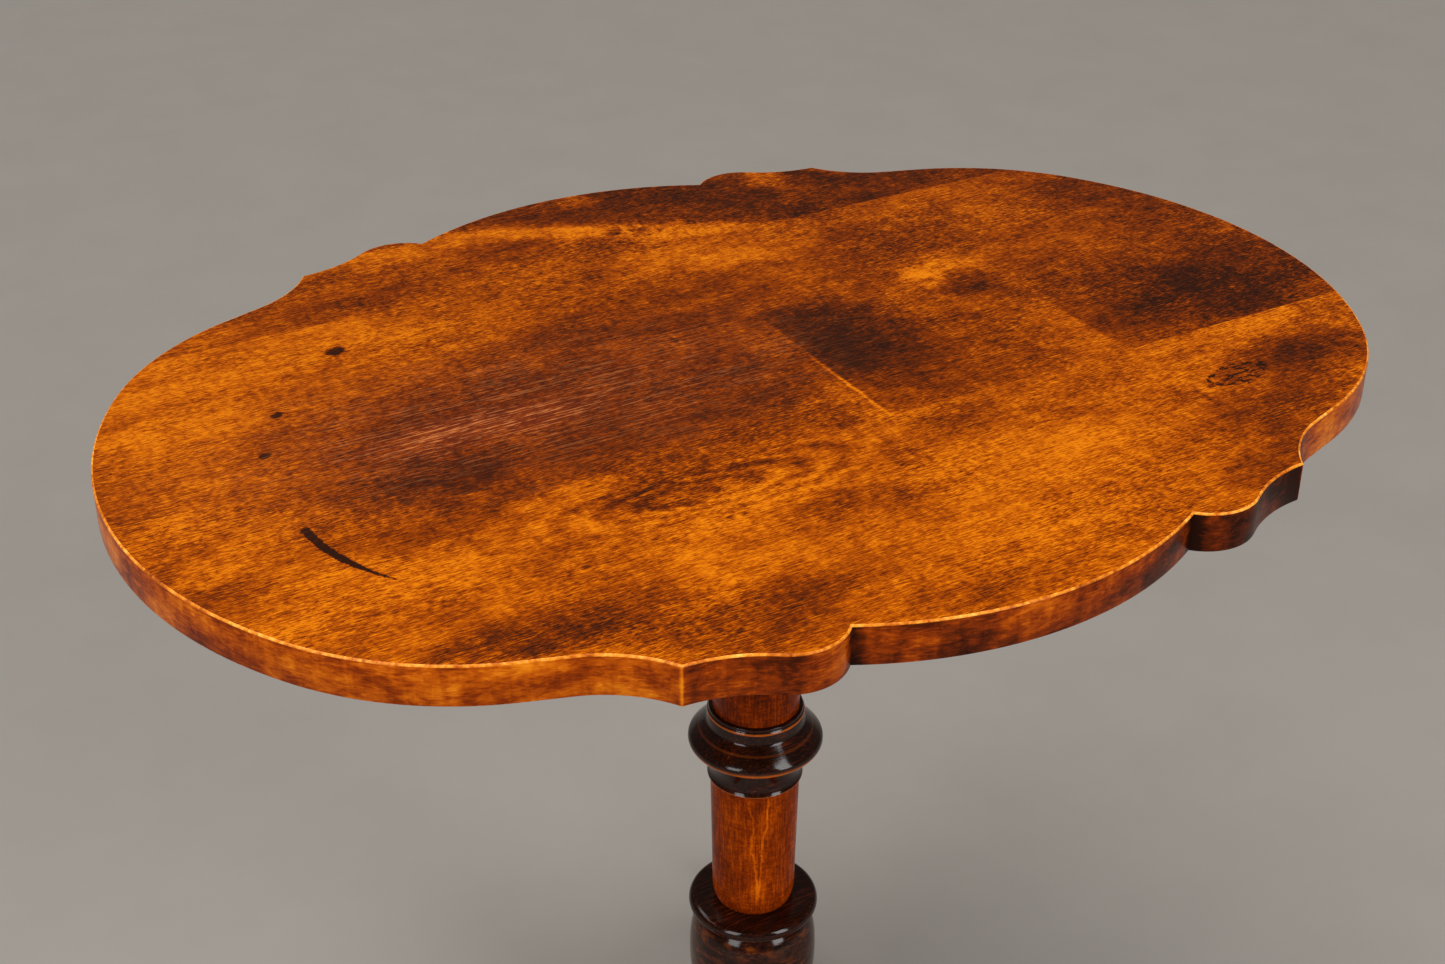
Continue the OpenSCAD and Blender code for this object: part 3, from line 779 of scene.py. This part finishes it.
# %% [markdown]
# ## Stained wood that stands upright
# On the neck and shaft the fibres run up and down, and the lathe has cut through the year rings,
# so pale flame-shaped lines stand on the front. The top's finish could be turned upright as it
# is, but its marks belong to the top; only its shader is used again, with flecks that run
# along Z and a slightly redder ramp. The legs are cut from boards whose grain runs outwards.

# %% stained finish for the pillar and the foot
ALONG_Z = ((560, 560, 46), (1300, 1300, 22))
ALONG_XY = ((60, 60, 420), (30, 30, 1100))


def flame(f, depth):
    """Two pale lines that part upwards from a bright foot, on the shaft's front left side."""
    side = f.plus(f.times(f.x, 0.864), f.times(f.y, -0.503))
    front = f.step(f.plus(f.times(f.x, 0.503), f.times(f.y, 0.864)), 0.0, -0.010)
    up = f.math("SUBTRACT", f.z, 0.290)
    wander = f.times(f.noise(f.stretch(f.here, 18, 18, 48), 1.0, 3), 0.011)
    arm = f.math("ABSOLUTE", f.plus(side, -0.0035, wander))
    line = f.band(f.math("SUBTRACT", arm, f.times(up, 0.072)), 0.0010, 0.0015)
    tall = f.times(f.step(f.z, 0.272, 0.292), f.step(f.z, 0.392, 0.372))
    depth = f.plus(depth, f.times(f.times(f.times(line, front), tall), -0.26))
    foot = f.spot(f.here, 0, 0, 10, 10, z=0.284, half_z=0.016)
    middle = f.band(f.plus(side, -0.003), 0.0, 0.010)
    return f.plus(depth, f.times(f.times(f.times(foot, middle), front), -0.20))


def upright_stain(name, base, with_flame=False, grain=ALONG_Z):
    f = Finish(name)
    fleck = f.noise(f.stretch(f.here, *grain[0]), 1.0, 3.0, 0.6)
    hair = f.noise(f.stretch(f.here, *grain[1]), 1.0, 2.0, 0.6)
    speck = f.noise(f.here, 520, 2.0)
    cloud = f.noise(f.stretch(f.here, 34, 34, 14), 1.0, 4.0, 0.6)
    curl = f.noise(f.stretch(f.here, 90, 90, 260), 1.0, 3.0, 0.6)
    fine = f.plus(f.times(fleck, 0.75), f.times(hair, 0.40), f.times(speck, 0.50),
                  f.times(curl, 0.45))
    depth = f.plus(base, fine, f.times(cloud, 0.80))
    if with_flame:
        depth = flame(f, depth)
    return stained(f, depth, fine, rough=0.26, stops=RED_TO_BLACK)


# %% stain the pillar, the foot, the block and the bearers
neck.data.materials.append(upright_stain("stain_neck", 0.60))
shaft.data.materials.append(upright_stain("stain_shaft", 0.47, with_flame=True))
leg_stain = upright_stain("stain_legs", 0.50, grain=ALONG_XY)
for leg in legs.values():
    leg.data.materials.append(leg_stain)
hub.data.materials.append(upright_stain("stain_hub", 0.55))
block_stain = upright_stain("stain_block", 0.60, grain=ALONG_XY)
for piece in [block] + bearers:
    piece.data.materials.append(block_stain)


# %% [markdown]
# ## Blackened rings
# The rings are black-brown lacquer over birch, glossy, with the flat grain of each disc
# just showing. Where a cloth catches an edge the black is rubbed through to orange wood.
# Rubbed edges sit at known heights on a turned piece, so a few bands in height and radius,
# broken up by noise, place them better than any guess from the curvature. Some bands also carry
# painted light: the one under the upper rim paints a glow on its shaded underside, and the
# bulb's patchy ones paint mottled reflections.

# %% ebonised finish; each rub is height, half height, least radius, strength
def ebonised(name, rubs_and_painted_light, patchy=False):
    f = Finish(name)
    radius = f.math("SQRT", f.plus(f.math("POWER", f.x, 2.0), f.math("POWER", f.y, 2.0)))
    streak = f.noise(f.stretch(f.here, 40, 620, 620, turn=(0, 0, 32)), 1.0, 3.0, 0.6)
    hair = f.noise(f.stretch(f.here, 26, 1500, 1500, turn=(0, 0, 32)), 1.0, 2.0, 0.6)
    cloud = f.noise(f.here, 45, 3.0)
    shine = f.plus(0.40, f.times(streak, 1.5), f.times(hair, 0.8), f.times(cloud, 0.6))
    colour = f.ramp(shine, (0.0, (12, 4, 2)), (0.45, (29, 9, 4)), (0.75, (64, 21, 7)),
                    (1.0, (118, 52, 13)))
    broken = f.plus(0.78, f.times(cloud, 1.2), f.times(streak, 0.5))
    if patchy:
        blots = f.noise(f.stretch(f.here, 70, 70, 160), 1.0, 4.0, 0.65)
        broken = f.times(broken, f.step(blots, -0.06, 0.16))
    for height, half, least, strength in rubs_and_painted_light:
        wear_and_sheen = f.times(f.band(f.z, height, half, soft=0.7), f.step(radius, least, least + 0.0015))
        share = f.math("MULTIPLY", f.times(wear_and_sheen, broken), strength, clamp=True)
        colour = f.mix(share, colour, rgb(180, 86, 18))
    return f.shade(colour, 0.11, f.bump(f.plus(streak, hair), 0.00006, 0.4), specular=0.27)


# %% blacken the rings and the bulb
upper_ring.data.materials.append(ebonised("black_upper_ring", (
    # the band at 0.4144 under the rim is partly the rubbed orange rim and partly painted light on
    # its shaded, downward face
    (0.4458, 0.0012, 0.0375, 0.95), (0.4144, 0.0050, 0.0470, 1.20),
    (0.3838, 0.0011, 0.0372, 0.9), (0.4300, 0.0010, 0.0400, 0.15))))
lower_disc.data.materials.append(ebonised("black_lower_disc", ((0.2462, 0.0016, 0.0480, 0.9),)))
# the bulb's patchy bands are partly rubbed-through orange wood and partly painted reflections
bulb.data.materials.append(ebonised("black_bulb", (
    (0.2330, 0.0110, 0.0460, 0.26), (0.2000, 0.0320, 0.0500, 0.20)), patchy=True))

# %% [markdown]
# ## Iron, brass and bare wood
# The hidden hardware is plain: oiled iron for pins, screws and brace, brass for the catch, and
# bare pale birch for the dowels and the wedge. They could share one grey, but each catches the
# light in its own way, so one function gives both metals two tones, patches and fine
# scratches, and the birch takes the figure of the top without its stain.

# %% metal
def metal(name, dark, light, rough, scale):
    f = Finish(name)
    patch = f.noise(f.here, scale, 4.0, 0.6)
    scratch = f.noise(f.stretch(f.here, 900, 120, 500), 1.0, 2.0)
    tone = f.plus(0.5, f.times(patch, 1.4), f.times(scratch, 0.4))
    colour = f.ramp(tone, (0.0, dark), (1.0, light))
    return f.shade(colour, f.plus(rough, f.times(patch, 0.3)), f.bump(scratch, 0.0001, 0.3),
                   metal=1.0)


iron = metal("oiled_iron", (52, 46, 42), (112, 104, 98), 0.48, 140)
brass = metal("dull_brass", (126, 92, 44), (206, 166, 92), 0.34, 90)


# %% bare birch
def bare_birch():
    f = Finish("bare_birch")
    all_over, fine = figure(f, 0.5)
    colour = f.ramp(f.plus(0.4, all_over), (0.0, (226, 190, 140)), (1.0, (150, 104, 58)))
    return f.shade(colour, 0.55, f.bump(fine, 0.0001, 0.5))


bare = bare_birch()

# %% finish the hardware, and the nodes that keep their measured shape
brace.data.materials.append(iron)
for piece in catch_metal + [strike]:
    piece.data.materials.append(brass)
KEPT = {"bearer_screws": iron, "pivot_pins": iron, "catch_bolt": iron, "brace_screws": iron,
        "catch_screws": brass, "strike_screws": brass, "tenon_wedge": bare, "leg_dowels": bare}
for name, material in KEPT.items():
    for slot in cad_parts[name].material_slots:
        slot.material = material
print("kept nodes:", len(KEPT))

# %% [markdown]
# ## Floor, light and camera
# A pale floor runs far past the table so no edge of it shows. Two wide soft lamps stand in front,
# one to each side, and leave the pair of highlights that turned lacquer shows; hazy daylight
# from above keeps the top and the floor even. The camera stands a little above the top, off
# its left front corner.

# %% the floor
bm = bmesh.new()
bmesh.ops.create_grid(bm, x_segments=2, y_segments=2, size=30)
mesh = bpy.data.meshes.new("floor")
bm.to_mesh(mesh)
bm.free()
floor = bpy.data.objects.new("floor", mesh)
bpy.context.scene.collection.objects.link(floor)
f = Finish("pale_floor")
tone = f.plus(0.5, f.times(f.noise(f.here, 6, 5, 0.65), 0.5))
plain = f.ramp(tone, (0.0, (122, 118, 113)), (1.0, (140, 136, 131)))
floor.data.materials.append(f.shade(plain, 0.75))


# %% two soft lamps
LAMP_WIDTH, LAMP_HEIGHT = 1.1, 2.4
LIT_POINT = Vector((0, 0, 0.5))


def lamp(name, place, watts):
    data = bpy.data.lights.new(name, "AREA")
    data.shape = "RECTANGLE"
    data.size, data.size_y = LAMP_WIDTH, LAMP_HEIGHT
    data.energy = watts
    obj = bpy.data.objects.new(name, data)
    obj.location = place
    obj.rotation_euler = (LIT_POINT - obj.location).to_track_quat("-Z", "Y").to_euler()
    bpy.context.scene.collection.objects.link(obj)
    print(name, watts, "W")


lamp("lamp_left", (-2.6, -1.2, 1.9), 56)
lamp("lamp_right", (0.9, -2.8, 1.9), 72)

# %% hazy daylight from above
sun = bpy.data.objects.new("daylight", bpy.data.lights.new("daylight", "SUN"))
HAZE_ANGLE = 60
sun.data.energy = 2.7
sun.data.angle = radians(HAZE_ANGLE)
sun.data.color = (1, 0.98, 0.95)
sun.rotation_euler = (radians(-14), radians(-12), 0)
bpy.context.scene.collection.objects.link(sun)
print("daylight from a disc of", HAZE_ANGLE, "degrees")

# %% the room: darker in a reflection than it is as light, so that polish stays deep
ROOM_COLOUR = (0.62, 0.57, 0.52, 1)
ROOM_LIGHT, ROOM_IN_POLISH = 0.42, 0.20
world = bpy.data.worlds.new("room")
bpy.context.scene.world = world
world.use_nodes = True
room = world.node_tree
room.nodes["Background"].inputs[0].default_value = ROOM_COLOUR
rays = room.nodes.new("ShaderNodeLightPath")
dimmer = room.nodes.new("ShaderNodeMapRange")
dimmer.inputs["To Min"].default_value = ROOM_LIGHT
dimmer.inputs["To Max"].default_value = ROOM_IN_POLISH
room.links.new(rays.outputs["Is Glossy Ray"], dimmer.inputs["Value"])
room.links.new(dimmer.outputs[0], room.nodes["Background"].inputs[1])
bpy.context.scene.view_settings.view_transform = "Standard"
print("room light", ROOM_LIGHT)

# %% the camera
LOOKS_DOWN, TURNED_RIGHT, TILT = 29.951, 30.182, 0.2747
camera = bpy.data.objects.new("camera", bpy.data.cameras.new("camera"))
camera.data.lens = 51.69
camera.data.sensor_width = 36
camera.location = (-0.6931, -1.1377, 1.4176)
camera.rotation_euler = (radians(90 - LOOKS_DOWN), 0, radians(-TURNED_RIGHT))
camera.rotation_euler.rotate_axis("Z", radians(TILT))
bpy.context.scene.collection.objects.link(camera)
bpy.context.scene.camera = camera
print("camera", round(camera.location.length, 2), "m from the pillar's foot")
